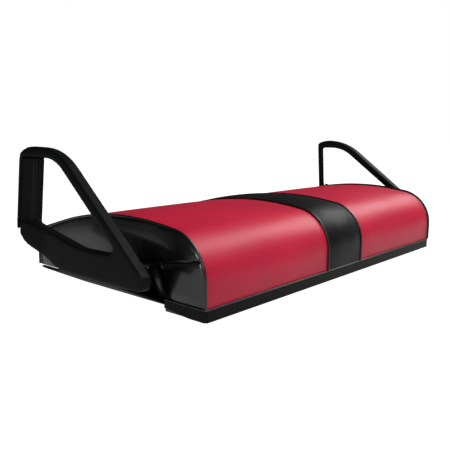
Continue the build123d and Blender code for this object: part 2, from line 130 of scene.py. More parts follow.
def add_node(tree, kind, links=(), **values):
    """A node with its values set and its inputs linked: links pairs an input with an output socket."""
    node = tree.nodes.new(kind)
    for key, value in values.items():
        setattr(node, key, value)
    for socket, source in dict(links).items():
        if hasattr(source, "is_output"):
            tree.links.new(source, node.inputs[socket])
        else:
            node.inputs[socket].default_value = source
    return node


def calculate(tree, operation, first, second=0.0, clamp=False):
    """One Math node; returns its output."""
    node = add_node(tree, "ShaderNodeMath", {0: first, 1: second}, operation=operation)
    node.use_clamp = clamp
    return node.outputs[0]


# %% Leather grain, moulded grain and handling marks
def build_leather_grain():
    """Small pebbles parted by creases, as pressed into vinyl, with a slow change of shade."""
    tree, given, put = shader_group("leather_grain", {"Pebble Scale": 520.0, "Shade Scale": 7.0},
                                    ("Height", "Shade"))
    warp = add_node(tree, "ShaderNodeTexNoise", {"Vector": given.outputs["Vector"], "Scale": 90.0})
    bend = add_node(tree, "ShaderNodeVectorMath",
                    {0: warp.outputs["Color"], "Scale": 0.0035}, operation="SCALE")
    moved = add_node(tree, "ShaderNodeVectorMath",
                     {0: given.outputs["Vector"], 1: bend.outputs[0]}, operation="ADD")
    cells = add_node(tree, "ShaderNodeTexVoronoi",
                     {"Vector": moved.outputs[0], "Scale": given.outputs["Pebble Scale"]},
                     feature="DISTANCE_TO_EDGE")
    pebble = calculate(tree, "MULTIPLY", cells.outputs["Distance"], 3.0, clamp=True)
    fine = add_node(tree, "ShaderNodeTexNoise",
                    {"Vector": given.outputs["Vector"], "Scale": 1400.0, "Detail": 3.0})
    speck = calculate(tree, "MULTIPLY", fine.outputs["Fac"], 0.25)
    tree.links.new(calculate(tree, "ADD", pebble, speck), put.inputs["Height"])
    slow = add_node(tree, "ShaderNodeTexNoise",
                    {"Vector": given.outputs["Vector"], "Scale": given.outputs["Shade Scale"],
                     "Detail": 4.0})
    tree.links.new(slow.outputs["Fac"], put.inputs["Shade"])
    return tree


def build_moulded_grain():
    """The fine spark-eroded texture of moulded plastic, and a faint flow pattern in its gloss."""
    tree, given, put = shader_group("moulded_grain", {"Grain Scale": 1500.0, "Flow Scale": 9.0},
                                    ("Height", "Gloss"))
    grain = add_node(tree, "ShaderNodeTexNoise",
                     {"Vector": given.outputs["Vector"], "Scale": given.outputs["Grain Scale"],
                      "Detail": 2.0, "Roughness": 0.6})
    tree.links.new(grain.outputs["Fac"], put.inputs["Height"])
    flow = add_node(tree, "ShaderNodeTexNoise",
                    {"Vector": given.outputs["Vector"], "Scale": given.outputs["Flow Scale"],
                     "Detail": 5.0, "Distortion": 0.6})
    tree.links.new(flow.outputs["Fac"], put.inputs["Gloss"])
    return tree


def build_handling_marks():
    """Where hands and clothes have rubbed: broad soft patches broken by thin scuffs."""
    tree, given, put = shader_group("handling_marks", {"Patch Scale": 5.0, "Scuff Scale": 60.0},
                                    ("Rub",))
    patch = add_node(tree, "ShaderNodeTexNoise",
                     {"Vector": given.outputs["Vector"], "Scale": given.outputs["Patch Scale"],
                      "Detail": 3.0})
    scuff = add_node(tree, "ShaderNodeTexNoise",
                     {"Vector": given.outputs["Vector"], "Scale": given.outputs["Scuff Scale"],
                      "Detail": 6.0, "Distortion": 1.5})
    joined = calculate(tree, "MULTIPLY", patch.outputs["Fac"], scuff.outputs["Fac"])
    tree.links.new(calculate(tree, "MULTIPLY", joined, 2.0, clamp=True), put.inputs["Rub"])
    return tree


GRAINS = {"leather": build_leather_grain(), "moulded": build_moulded_grain()}
MARKS = build_handling_marks()
print("groups:", [g.name for g in (*GRAINS.values(), MARKS)])


# %% [markdown]
# ## Materials
#
# The red and black vinyl are one product in two colours: a clear top coat over a grained sheet. The
# black one on the ends is glossier, and the one on the centre strip is duller. Plastic parts differ
# mostly in how rough they are. One function makes them all: colour varies between two shades,
# roughness follows the rubbing, and grain goes to bump.


# %% Build the materials
def finish_material(name, dark, light, roughness, grain, grain_scale, depth, rub=0.12, **shader_values):
    """A Principled material whose colour, roughness and bump come from the shared groups."""
    material = bpy.data.materials.new(name)
    material.use_nodes = True
    tree = material.node_tree
    shader = tree.nodes["Principled BSDF"]
    for socket, value in shader_values.items():
        shader.inputs[socket.replace("_", " ")].default_value = value
    place = add_node(tree, "ShaderNodeTexCoord").outputs["Object"]
    texture = add_node(tree, "ShaderNodeGroup", node_tree=GRAINS[grain])
    tree.links.new(place, texture.inputs["Vector"])
    texture.inputs[1].default_value = grain_scale
    marks = add_node(tree, "ShaderNodeGroup", {"Vector": place}, node_tree=MARKS)
    shade = add_node(tree, "ShaderNodeMapRange",
                     {"Value": texture.outputs[1], "From Min": 0.35, "From Max": 0.65})
    tint = add_node(tree, "ShaderNodeMix", data_type="RGBA")
    tint.inputs[6].default_value = (*dark, 1.0)
    tint.inputs[7].default_value = (*light, 1.0)
    tree.links.new(shade.outputs[0], tint.inputs[0])
    tree.links.new(tint.outputs[2], shader.inputs["Base Color"])
    gloss = add_node(tree, "ShaderNodeMapRange",
                     {"Value": marks.outputs["Rub"], "To Min": roughness - rub / 2,
                      "To Max": roughness + rub / 2})
    tree.links.new(gloss.outputs[0], shader.inputs["Roughness"])
    bump = add_node(tree, "ShaderNodeBump",
                    {"Height": texture.outputs["Height"], "Strength": 0.6, "Distance": depth})
    tree.links.new(bump.outputs[0], shader.inputs["Normal"])
    return material


RED_VINYL = finish_material("red_vinyl", (0.62, 0.006, 0.043), (0.70, 0.008, 0.050), 0.46, "leather",
                            520.0, 0.00010, Coat_Weight=0.16, Coat_Roughness=0.36,
                            Specular_IOR_Level=0.45)
BLACK_VINYL = finish_material("black_vinyl", (0.0030, 0.0040, 0.0033), (0.0050, 0.0060, 0.0052), 0.32,
                              "leather", 560.0, 0.00006, Coat_Weight=0.55, Coat_Roughness=0.14)
STRIP_VINYL = finish_material("strip_vinyl", (0.0030, 0.0038, 0.0032), (0.0050, 0.0058, 0.0050), 0.48,
                              "leather", 560.0, 0.00008, Coat_Weight=0.04, Specular_IOR_Level=0.22)
PIPING_VINYL = finish_material("piping_vinyl", (0.0030, 0.0036, 0.0030), (0.006, 0.007, 0.006), 0.32,
                               "leather", 900.0, 0.00004, Coat_Weight=0.35, Coat_Roughness=0.2)
RESTRAINT_PLASTIC = finish_material("restraint_plastic", (0.0020, 0.0034, 0.0024),
                                    (0.0032, 0.0048, 0.0036), 0.50, "moulded", 1300.0, 0.00008,
                                    Specular_IOR_Level=0.12)
TRIM_PLASTIC = finish_material("trim_plastic", (0.0022, 0.0030, 0.0024), (0.0036, 0.0044, 0.0036), 0.42,
                               "moulded", 1700.0, 0.00004, Specular_IOR_Level=0.12)
BASE_PLASTIC = finish_material("base_plastic", (0.011, 0.012, 0.012), (0.018, 0.019, 0.019), 0.55,
                               "moulded", 900.0, 0.00012)
ZINC_STEEL = finish_material("zinc_steel", (0.50, 0.51, 0.50), (0.62, 0.62, 0.60), 0.34, "moulded",
                             700.0, 0.00003, Metallic=1.0)
PAINTED_STEEL = finish_material("painted_steel", (0.010, 0.010, 0.011), (0.016, 0.016, 0.017), 0.42,
                                "moulded", 800.0, 0.00006)
FOOT_RUBBER = finish_material("foot_rubber", (0.008, 0.008, 0.008), (0.015, 0.015, 0.014), 0.72,
                              "moulded", 1100.0, 0.00010)
FOAM = finish_material("foam", (0.62, 0.54, 0.36), (0.72, 0.65, 0.46), 0.85, "leather", 700.0, 0.0005)
THREAD = finish_material("thread", (0.010, 0.011, 0.010), (0.020, 0.021, 0.020), 0.5, "moulded",
                         2500.0, 0.00003)

NODE_FINISH = {
    "seat_base": BASE_PLASTIC,
    "restraint_bolts": ZINC_STEEL, "restraint_washers": ZINC_STEEL, "restraint_tee_nuts": ZINC_STEEL,
    "restraint_plate_left": PAINTED_STEEL, "restraint_plate_right": PAINTED_STEEL,
    "hinge_cart_leaf_left": ZINC_STEEL, "hinge_cart_leaf_right": ZINC_STEEL,
    "hinge_seat_leaf_left": ZINC_STEEL, "hinge_seat_leaf_right": ZINC_STEEL,
    "hinge_pin_left": ZINC_STEEL, "hinge_pin_right": ZINC_STEEL, "hinge_pin_clips": ZINC_STEEL,
    "hinge_screws": ZINC_STEEL, "foot_screws": ZINC_STEEL, "hem_staples": ZINC_STEEL,
    "rubber_feet": FOOT_RUBBER,
}
for node, material in NODE_FINISH.items():
    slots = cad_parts[node].data.materials
    slots.clear()
    slots.append(material)
print("finished", len(NODE_FINISH), "CAD nodes")


# %% [markdown]
# ## Lines to build on
#
# The cushion, its piping and its seams all follow one side profile: straight runs joined by arcs.
# A curve object with handles could draw it, but plain points are easier to offset and to measure.
# `rounded_line` makes the points, `spaced` spreads them evenly, and `facing` gives the way out.


# %% Points along a profile
def rounded_line(corners, radii, steps=24):
    """Straight runs joined by arcs: an array of 2-D points."""
    points = [Vector(corners[0])]
    for before, corner, after, radius in zip(corners, corners[1:], corners[2:], radii):
        corner = Vector(corner)
        back = (Vector(before) - corner).normalized()
        onward = (Vector(after) - corner).normalized()
        half = back.angle(onward) / 2
        centre = corner + (back + onward).normalized() * radius / math.sin(half)
        start = corner + back * radius / math.tan(half) - centre
        turn = (math.pi - 2 * half) * (1 if back.cross(onward) < 0 else -1)
        for i in range(steps + 1):
            points.append(centre + Matrix.Rotation(turn * i / steps, 2) @ start)
    points.append(Vector(corners[-1]))
    return np.array([tuple(p) for p in points])


def spaced(points, step):
    """The same line with its points about one step apart."""
    points = np.asarray(points, float)
    gaps = np.linalg.norm(np.diff(points, axis=0), axis=1)
    along = np.concatenate([[0], np.cumsum(gaps)])
    keep = np.concatenate([[True], gaps > 1e-9])
    even = np.linspace(0, along[-1], max(2, round(along[-1] / step) + 1))
    return np.stack([np.interp(even, along[keep], points[keep, k]) for k in range(points.shape[1])], 1)


def facing(points):
    """Unit normals of a 2-D line, to the left of its direction."""
    way = np.gradient(points, axis=0)
    way /= np.linalg.norm(way, axis=1)[:, None]
    return np.stack([-way[:, 1], way[:, 0]], 1)


def profile_line(step, outset=0.0, bottom=None):
    """The cushion's side profile as (y, z) points, moved outwards by a distance."""
    corners = [(y, z) for y, z in PROFILE]
    corners[0] = (FRONT - outset, BASE_BOTTOM if bottom is None else bottom)
    corners[-1] = (REAR + outset, corners[0][1])
    corners[1] = (FRONT - outset, corners[1][1] + outset)
    corners[2] = (corners[2][0], corners[2][1] + outset)
    corners[3] = (REAR + outset, corners[3][1] + outset)
    return spaced(rounded_line(corners, [r + outset for r in PROFILE_RADII]), step)


def add_piece(name, points, faces, material):
    """A smooth mesh object at the origin, with its place in its mesh."""
    mesh = bpy.data.meshes.new(name)
    mesh.from_pydata([tuple(p) for p in points], [], faces)
    mesh.materials.append(material)
    mesh.shade_smooth()
    mesh.update()
    piece = bpy.data.objects.new(name, mesh)
    scene.collection.objects.link(piece)
    return piece


print("profile length", round(len(profile_line(0.001)) / 1000, 3))

# %% [markdown]
# ## Vinyl pulled over foam
#
# Each top panel is sewn along its two side seams and stapled under the base, and the foam pushes it
# out in between. A flat sheet would look like sheet metal. The shape could be sculpted by hand, but
# a cloth simulation finds it from the same causes: a sheet pinned at its seams with pressure behind
# it. How far each point may move is capped, so that the cushion keeps its size.


# %% Inflate a pinned sheet
def inflate(points, faces, pinned, cap, pressure=3.0, frames=14):
    """Cloth with its seams pinned and pressure behind it; returns the points where it settles."""
    sheet = add_piece("sheet_trial", points, faces, RED_VINYL)
    group = sheet.vertex_groups.new(name="seams")
    group.add([int(i) for i in np.flatnonzero(pinned)], 1.0, "REPLACE")
    settings = sheet.modifiers.new("cloth", "CLOTH").settings
    settings.vertex_group_mass = "seams"
    settings.quality = 6
    settings.mass = 0.3
    settings.tension_stiffness = settings.compression_stiffness = 40.0
    settings.bending_stiffness = 4.0
    settings.use_pressure = True
    settings.uniform_pressure_force = pressure
    settings.effector_weights.gravity = 0.0
    for frame_number in range(1, frames + 1):
        scene.frame_set(frame_number)
    settled = sheet.evaluated_get(bpy.context.evaluated_depsgraph_get()).data
    moved = np.zeros(len(points) * 3)
    settled.vertices.foreach_get("co", moved)
    shift = moved.reshape(-1, 3) - points
    length = np.linalg.norm(shift, axis=1)
    shift *= (cap * np.tanh(length / cap) / np.maximum(length, 1e-9))[:, None]
    scene.frame_set(1)
    bpy.data.objects.remove(sheet)
    return points + shift


def ease(distance, reach):
    """0 at a seam, rising smoothly to 1 one reach away from it."""
    t = np.clip(distance / reach, 0, 1)
    return t * t * (3 - 2 * t)


# %% Cut the top panels
PANEL_STEP = 0.008
HELD = 0.006            # the staples hold the panel flat this far above the trim
SEAM_PUFF = 0.05        # distance from a seam at which a panel is fully swollen
RAISED_BELOW = TRIM_TOP + 0.045


def grid_faces(rows, columns, start=0, flip=False):
    """Quads of a grid of rows by columns of points."""
    quads = [(start + r * columns + c, start + r * columns + c + 1,
              start + (r + 1) * columns + c + 1, start + (r + 1) * columns + c)
             for r in range(rows - 1) for c in range(columns - 1)]
    return [q[::-1] for q in quads] if flip else quads


def rim_faces(rows, columns, back):
    """Walls that close a front grid to a back grid whose points start at one index."""
    loop = list(range(columns))
    loop += [r * columns + columns - 1 for r in range(1, rows)]
    loop += [(rows - 1) * columns + c for c in range(columns - 2, -1, -1)]
    loop += [r * columns for r in range(rows - 2, 0, -1)]
    return [(b, a, back + a, back + b) for a, b in zip(loop, loop[1:] + loop[:1])]


def top_panel(name, x_low, x_high, outset, puff, cap, material, stands_for):
    """A panel from the lower front edge, over the crown, to the lower rear edge."""
    line = profile_line(PANEL_STEP, outset)
    way = facing(line)
    columns = round((x_high - x_low) / PANEL_STEP) + 1
    across = np.linspace(x_low, x_high, columns)
    seam = np.minimum(across - x_low, x_high - across)[None, :]
    held = (line[:, 1] - TRIM_TOP - HELD)[:, None]
    swell = puff * ease(seam, SEAM_PUFF) ** 0.6 * ease(held, SEAM_PUFF)
    wave = np.sin(np.arange(len(line)) * 2.1)[:, None]
    pucker = 0.00025 * wave * np.exp(-seam / 0.012) * ease(held, 0.03)
    out = swell + pucker
    outer = np.stack([np.broadcast_to(across, out.shape),
                      line[:, :1] + way[:, :1] * out, line[:, 1:] + way[:, 1:] * out], 2)
    pinned = (seam < 0.001) | (held < 0.001)
    outer = inflate(outer.reshape(-1, 3), grid_faces(*out.shape), pinned.ravel(), cap)
    lining = line - way * (SKIN + outset)
    inner = np.stack([np.broadcast_to(part, out.shape)
                      for part in (across, lining[:, :1], lining[:, 1:])], 2)
    points = np.concatenate([outer, inner.reshape(-1, 3)])
    corner = (np.abs(points[:, 0]) > RECESS) & (points[:, 1] > 0)
    raised = np.interp(points[:, 2], [BASE_BOTTOM, RAISED_BELOW], [NOTCH_TOP, RAISED_BELOW])
    points[:, 2] = np.where(corner, np.maximum(raised, points[:, 2]), points[:, 2])
    faces = grid_faces(*out.shape) + grid_faces(*out.shape, start=outer.shape[0], flip=True)
    faces += rim_faces(*out.shape, outer.shape[0])
    panel = add_piece(name, points, faces, material)
    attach(panel, "seat")
    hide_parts(*stands_for)
    smooth = panel.modifiers.new("smooth", "SUBSURF")
    smooth.levels = smooth.render_levels = 1
    return panel


left_panel = top_panel("red_panel_left", -END + SKIN, -HALF_STRIP, 0.0, 0.0022, 0.005, RED_VINYL,
                       ["cover_left"])
right_panel = top_panel("red_panel_right", HALF_STRIP, END - SKIN, 0.0, 0.0022, 0.005, RED_VINYL,
                        ["cover_right"])
strip = top_panel("centre_strip", -HALF_STRIP, HALF_STRIP, STRIP_RISE * 0.45, 0.005, 0.004,
                  STRIP_VINYL, ["cover_centre_strip"])
print("top panels:", [len(p.data.polygons) for p in (left_panel, right_panel, strip)])

# %% [markdown]
# ## End panels
#
# Each end is closed by two pieces of black vinyl with a seam between them, and the foam swells the
# front lower corner. The outline is not a rectangle, so a grid does not fit it. A triangulation
# of scattered points does: the outline and the seam are given as edges, and the points between them
# as a loose field. Then one function says how far each point stands out, from its distance to the
# seams. Cloth would smooth away the fold and the valley behind the front corner, so the ends are
# shaped by that function alone.


# %% Shape the end panels
END_STEP = 0.0065
SEAM_LINE = rounded_line([(FRONT - 0.01, TRIM_TOP + 0.093), (FRONT + 0.040, TRIM_TOP + 0.082),
                          (FRONT + 0.100, TRIM_TOP + 0.072), (FRONT + 0.180, TRIM_TOP + 0.060),
                          (REAR + 0.01, TRIM_TOP + 0.048)], [0.10, 0.12, 0.30])
VALLEY = ((FRONT + 0.124, TRIM_TOP + 0.074), (FRONT + 0.094, BASE_BOTTOM + 0.004))
FOLD = ((FRONT + 0.142, TRIM_TOP + 0.072), (FRONT + 0.110, BASE_BOTTOM + 0.004))


def distance_to(points, line):
    """Distance of each 2-D point from a line of points."""
    start, step = line[:-1], np.diff(line, axis=0)
    size = np.maximum((step ** 2).sum(1), 1e-12)
    t = np.clip(((points[:, None] - start) * step).sum(2) / size, 0, 1)
    return np.linalg.norm(points[:, None] - start - t[..., None] * step, axis=2).min(1)


def inside(points, outline):
    """True for each 2-D point inside a closed outline."""
    hit = np.zeros(len(points), bool)
    for (y0, z0), (y1, z1) in zip(outline, np.roll(outline, -1, axis=0)):
        crosses = (z0 > points[:, 1]) != (z1 > points[:, 1])
        with np.errstate(divide="ignore", invalid="ignore"):
            hit ^= crosses & (points[:, 0] < (y1 - y0) * (points[:, 1] - z0) / (z1 - z0) + y0)
    return hit


def end_outline():
    """The end's outline in (y, z): up the front, over the crown, down the rear, along the recess."""
    profile = profile_line(END_STEP * 0.6)
    profile = profile[(profile[:, 0] < 0) | (profile[:, 1] > NOTCH_TOP + END_STEP * 0.3)]
    under = [profile[-1], (REAR, NOTCH_TOP), (NOTCH_FRONT, NOTCH_TOP), (NOTCH_FRONT, BASE_BOTTOM),
             profile[0]]
    runs = [spaced(np.array([a, b]), END_STEP)[1:] for a, b in zip(under, under[1:])]
    return np.concatenate([profile, *runs])[:-1]


def end_field():
    """Points and triangles of the end, and the lines of its outline and its seam."""
    outline = end_outline()
    seam = spaced(SEAM_LINE, END_STEP * 0.6)
    seam = seam[inside(seam, outline) & (distance_to(seam, outline) > 0.002)]
    grid = [(FRONT + c * END_STEP + (r % 2) * END_STEP / 2, BASE_BOTTOM + r * END_STEP * 0.87)
            for r in range(32) for c in range(86)]
    grid = np.array(grid)
    closed = np.concatenate([outline, outline[:1]])
    free = inside(grid, outline) & (distance_to(grid, closed) > END_STEP * 0.45)
    free &= distance_to(grid, seam) > END_STEP * 0.45
    points = np.concatenate([outline, seam, grid[free]])
    count, joined = len(outline), len(outline) + len(seam)
    edges = [(i, (i + 1) % count) for i in range(count)]
    edges += [(i, i + 1) for i in range(count, joined - 1)]
    cut = delaunay_2d_cdt([Vector(p) for p in points], edges, [], 1, 1e-6)
    points = np.array([tuple(p) for p in cut[0]])
    return points, [tuple(f) for f in cut[2]], closed, seam


# %% Swell and fold the end panels
EDGE_SWELL = 0.0048                       # how far the flat part stands out from its seams
BULGE, BULGE_MIDDLE = 0.0065, (FRONT + 0.060, TRIM_TOP + 0.066)
SEAM_DIP, VALLEY_DIP, FOLD_RISE, POCKET_DIP = 0.0026, 0.0065, 0.0038, 0.0040


def bell(distance, reach):
    """1 at no distance, falling smoothly to nothing at about twice the reach."""
    return np.exp(-(distance / reach) ** 2)


def end_swell(points, closed, seam):
    """How far each point of the end stands out from the plane of its seams."""
    edge = distance_to(points, closed)
    from_seam = distance_to(points, seam)
    y, z = points[:, 0], points[:, 1]
    above_trim = ease(z - TRIM_TOP + 0.004, 0.025)
    swell = EDGE_SWELL * ease(edge, 0.040) ** 0.55 * above_trim
    swell += BULGE * bell(np.hypot((y - BULGE_MIDDLE[0]) / 1.2, z - BULGE_MIDDLE[1]), 0.036)
    swell -= SEAM_DIP * bell(from_seam, 0.0042) * ease(edge, 0.012)
    below = ease(np.interp(y, SEAM_LINE[:, 0], SEAM_LINE[:, 1]) - z + 0.004, 0.010)
    swell -= VALLEY_DIP * bell(distance_to(points, spaced(np.array(VALLEY), 0.005)), 0.0090) * below
    swell += FOLD_RISE * bell(distance_to(points, spaced(np.array(FOLD), 0.005)), 0.0075) * below
    pocket = ease(y - FRONT - 0.150, 0.03) * ease(REAR - 0.03 - y, 0.05) * below
    swell -= POCKET_DIP * pocket * ease(edge, 0.03)
    return np.maximum(swell, -0.0010) * ease(edge, 0.004)


def end_piece(name, side, points, faces, keep, swell):
    """One sewn piece of an end: its swollen face, a flat back one skin behind, and walls between."""
    used = sorted({i for f, k in zip(faces, keep) if k for i in f})
    index = {old: new for new, old in enumerate(used)}
    chosen = [tuple(index[i] for i in f) for f, k in zip(faces, keep) if k]
    flat = points[used]
    face = np.column_stack([side * (END + swell[used]), flat])
    back = np.column_stack([np.full(len(used), side * (END - SKIN)), flat])
    count = len(used)
    edges = dict.fromkeys((a, b) for f in chosen for a, b in zip(f, f[1:] + f[:1]))
    walls = [(b, a, a + count, b + count) for a, b in edges if (b, a) not in edges]
    shell = chosen + [tuple(i + count for i in f[::-1]) for f in chosen] + walls
    if side < 0:
        shell = [f[::-1] for f in shell]
    piece = add_piece(name, np.concatenate([face, back]), shell, BLACK_VINYL)
    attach(piece, "seat")
    return piece


field, triangles, end_edge, end_seam = end_field()
heights = end_swell(field, end_edge, end_seam)
centres = field[np.array(triangles)].mean(1)
upper = centres[:, 1] > np.interp(centres[:, 0], SEAM_LINE[:, 0], SEAM_LINE[:, 1])
for side, word in ((-1, "left"), (1, "right")):
    top = end_piece(f"end_upper_{word}", side, field, triangles, upper, heights)
    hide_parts(f"end_panel_upper_{word}")
    low = end_piece(f"end_lower_{word}", side, field, triangles, ~upper, heights)
    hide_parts(f"end_panel_lower_{word}")
print("end panel points:", len(field), "swell up to", round(float(heights.max()) * 1000, 1), "mm")

# %% [markdown]
# ## A flap under each end
#
# From the restraint's wing back, the base is narrower than the cushion, and the end panel is turned
# in below the foam as far as the base. The flap lies flat and only its outer edge is rounded, so an
# outline carried straight from front to rear is enough.


# %% Turn the ends in under the foam
def turned_in(word, side):
    """A flat flap of the end panel with a soft edge, under the foam where the base is narrower."""
    low, high = NOTCH_TOP + 0.0010, NOTCH_TOP + SKIN
    near_base, edge_radius = RECESS + 0.0002, SKIN * 0.3
    edge = rounded_line([(near_base, low), (END - SKIN, low), (END - SKIN, high), (near_base, high)],
                        [edge_radius] * 2, 4)
    ends = (NOTCH_FRONT + 0.0005, REAR - 0.012)
    points = [(side * x, y, z) for y in ends for x, z in edge]
    count = len(edge)
    faces = [(i, (i + 1) % count, (i + 1) % count + count, i + count) for i in range(count)]
    faces += [tuple(range(count))[::-1], tuple(range(count, 2 * count))]
    faces = faces if side < 0 else [f[::-1] for f in faces]
    flap = add_piece(f"end_flap_{word}", points, faces, BLACK_VINYL)
    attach(flap, "seat")
    return flap


for side, word in ((-1, "left"), (1, "right")):
    turned_in(word, side)
print("flaps reach in to x =", round(RECESS, 3))

# %% [markdown]
# ## Foam under the covers
#
# The covers hide the foam, but it shows through the drain holes from below, and an open seam would
# show it too. It is the same profile, one skin further in, closed at both ends.


# %% Mould the foam
def foam_block():
    """The cushion's core, a little higher along the centre strip."""
    line = profile_line(0.012, -SKIN, NOTCH_TOP + SKIN + 0.0002)
    line = line[::-1]
    across = np.linspace(-END + SKIN, END - SKIN, 60)
    rise = STRIP_RISE * 0.5 * ease(HALF_STRIP - np.abs(across), 0.02)
    way = facing(line[::-1])[::-1]
    points = [(x, y + n[0] * r, z + n[1] * r * (z > TRIM_TOP + 0.03))
              for x, r in zip(across, rise) for (y, z), n in zip(line, way)]
    rows = len(line)
    faces = grid_faces(len(across), rows)
    faces += [tuple(range(rows))[::-1], tuple(range((len(across) - 1) * rows, len(across) * rows))]
    faces += [(c * rows, (c + 1) * rows, (c + 1) * rows + rows - 1, c * rows + rows - 1)
              for c in range(len(across) - 1)]
    return add_piece("foam_block", points, faces, FOAM)


foam = foam_block()
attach(foam, "seat")
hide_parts("foam_core")
print("foam faces:", len(foam.data.polygons))

# %% [markdown]
# ## Piping, welts and stitches follow a line
#
# Piping is a round cord in a strip of vinyl, sewn into a seam. Its section is the same everywhere,
# so the rule is the path and the radius. A bevelled curve would make it too. Geometry Nodes keep the
# radius and the sides as named inputs and can also set stitches along the same line, so one kind of
# tree makes both. The result is turned into a plain mesh, because the tree is only the recipe.


# %% Trees that follow a line
def line_tree(name, inputs):
    """An empty Geometry Nodes tree with a geometry in and out and named number inputs."""
    tree = bpy.data.node_groups.new(name, "GeometryNodeTree")
    tree.interface.new_socket("Geometry", in_out="INPUT", socket_type="NodeSocketGeometry")
    for socket, (kind, value) in inputs.items():
        made = tree.interface.new_socket(socket, in_out="INPUT", socket_type=kind)
        if value is not None:
            made.default_value = value
    tree.interface.new_socket("Geometry", in_out="OUTPUT", socket_type="NodeSocketGeometry")
    return tree, tree.nodes.new("NodeGroupInput"), tree.nodes.new("NodeGroupOutput")


def close_tree(tree, geometry, given, put):
    """Every tree ends alike: instances made real, smooth faces, and the material."""
    real = add_node(tree, "GeometryNodeRealizeInstances", {0: geometry})
    soft = add_node(tree, "GeometryNodeSetShadeSmooth", {0: real.outputs[0]})
    painted = add_node(tree, "GeometryNodeSetMaterial",
                       {"Geometry": soft.outputs[0], "Material": given.outputs["Material"]})
    tree.links.new(painted.outputs[0], put.inputs[0])


def build_cord_tree():
    """A round tube with closed ends along each line."""
    tree, given, put = line_tree("round_cord", {"Radius": ("NodeSocketFloat", 0.0025),
                                                "Sides": ("NodeSocketInt", 12),
                                                "Material": ("NodeSocketMaterial", None)})
    ring = add_node(tree, "GeometryNodeCurvePrimitiveCircle",
                    {"Resolution": given.outputs["Sides"], "Radius": given.outputs["Radius"]})
    tube = add_node(tree, "GeometryNodeCurveToMesh",
                    {"Curve": given.outputs["Geometry"], "Profile Curve": ring.outputs[0],
                     "Fill Caps": True})
    close_tree(tree, tube.outputs[0], given, put)
    return tree


def build_stitch_tree():
    """Short threads at an even pitch along each line, turned to follow it."""
    tree, given, put = line_tree("stitches", {"Pitch": ("NodeSocketFloat", 0.0045),
                                              "Stitch Length": ("NodeSocketFloat", 0.0034),
                                              "Thread Radius": ("NodeSocketFloat", 0.0005),
                                              "Material": ("NodeSocketMaterial", None)})
    places = add_node(tree, "GeometryNodeResampleCurve",
                      {"Curve": given.outputs["Geometry"], "Length": given.outputs["Pitch"]},
                      mode="LENGTH")
    bead = add_node(tree, "GeometryNodeMeshUVSphere", {"Segments": 8, "Rings": 5, "Radius": 1.0})
    half = calculate(tree, "MULTIPLY", given.outputs["Stitch Length"], 0.5)
    size = add_node(tree, "ShaderNodeCombineXYZ", {"X": half, "Y": given.outputs["Thread Radius"],
                                                   "Z": given.outputs["Thread Radius"]})
    thread = add_node(tree, "GeometryNodeTransform", {"Geometry": bead.outputs[0],
                                                      "Scale": size.outputs[0]})
    way = add_node(tree, "GeometryNodeInputTangent")
    turned = add_node(tree, "FunctionNodeAlignRotationToVector", {"Vector": way.outputs[0]}, axis="X")
    rows = add_node(tree, "GeometryNodeInstanceOnPoints",
                    {"Points": places.outputs[0], "Instance": thread.outputs[0],
                     "Rotation": turned.outputs[0]})
    close_tree(tree, rows.outputs[0], given, put)
    return tree


def along_lines(name, lines, tree, body, **inputs):
    """A plain mesh grown by a tree along one or more lines of 3-D points."""
    curve = bpy.data.curves.new(name + "_path", "CURVE")
    curve.dimensions = "3D"
    for line in lines:
        spline = curve.splines.new("POLY")
        spline.points.add(len(line) - 1)
        spline.points.foreach_set("co", np.column_stack([line, np.ones(len(line))]).ravel())
    path = bpy.data.objects.new(name + "_path", curve)
    scene.collection.objects.link(path)
    grown = path.modifiers.new("grow", "NODES")
    grown.node_group = tree
    for item in tree.interface.items_tree:
        if item.in_out == "INPUT" and item.name in inputs:
            grown[item.identifier] = inputs[item.name]
    settled = path.evaluated_get(bpy.context.evaluated_depsgraph_get())
    mesh = bpy.data.meshes.new_from_object(settled)
    mesh.name = name
    piece = bpy.data.objects.new(name, mesh)
    scene.collection.objects.link(piece)
    bpy.data.objects.remove(path)
    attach(piece, body)
    return piece


CORD = build_cord_tree()
STITCHES = build_stitch_tree()
print("trees:", CORD.name, STITCHES.name)


# %% Sew in the piping
PIPING_RADIUS = 0.0025
WELT_RADIUS = (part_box("trim_welt_front")[1].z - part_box("trim_welt_front")[0].z) / 2
PIPING_FOOT = TRIM_TOP + 2 * WELT_RADIUS + 0.0001


def at_x(line, x):
    """A (y, z) line stood up in space at one x."""
    return np.column_stack([np.full(len(line), x), line])


for side, word in ((-1, "left"), (1, "right")):
    lift = PIPING_RADIUS * 0.75
    end_path = at_x(profile_line(0.004, lift, PIPING_FOOT), side * (END + lift))
    end_cord = along_lines(f"end_cord_{word}", [end_path], CORD, "seat", Radius=PIPING_RADIUS,
                           Sides=12, Material=PIPING_VINYL)
    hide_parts(f"end_piping_{word}")
    strip_path = at_x(profile_line(0.004, PIPING_RADIUS, PIPING_FOOT),
                      side * (HALF_STRIP + PIPING_RADIUS))
    strip_cord = along_lines(f"strip_cord_{word}", [strip_path], CORD, "seat", Radius=PIPING_RADIUS,
                             Sides=12, Material=PIPING_VINYL)
    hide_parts(f"strip_piping_{word}")


def trim_line(outset, corner, part, z):
    """The outline round the front of the base, or the straight run along its rear, left to right."""
    if part == "front":
        x, y = END + outset, FRONT - outset
        line = rounded_line([(-x, NOTCH_FRONT), (-x, y), (x, y), (x, NOTCH_FRONT)], [corner] * 2, 10)
        sides = spaced(np.array([(-x, NOTCH_FRONT), (-x, y + 0.02)]), 0.01)
        line = np.concatenate([sides, line[1:-1], sides[::-1] * (-1, 1)])
    else:
        line = spaced(np.array([(-RECESS, REAR + outset), (RECESS, REAR + outset)]), 0.05)
    return np.column_stack([line, np.full(len(line), z)])


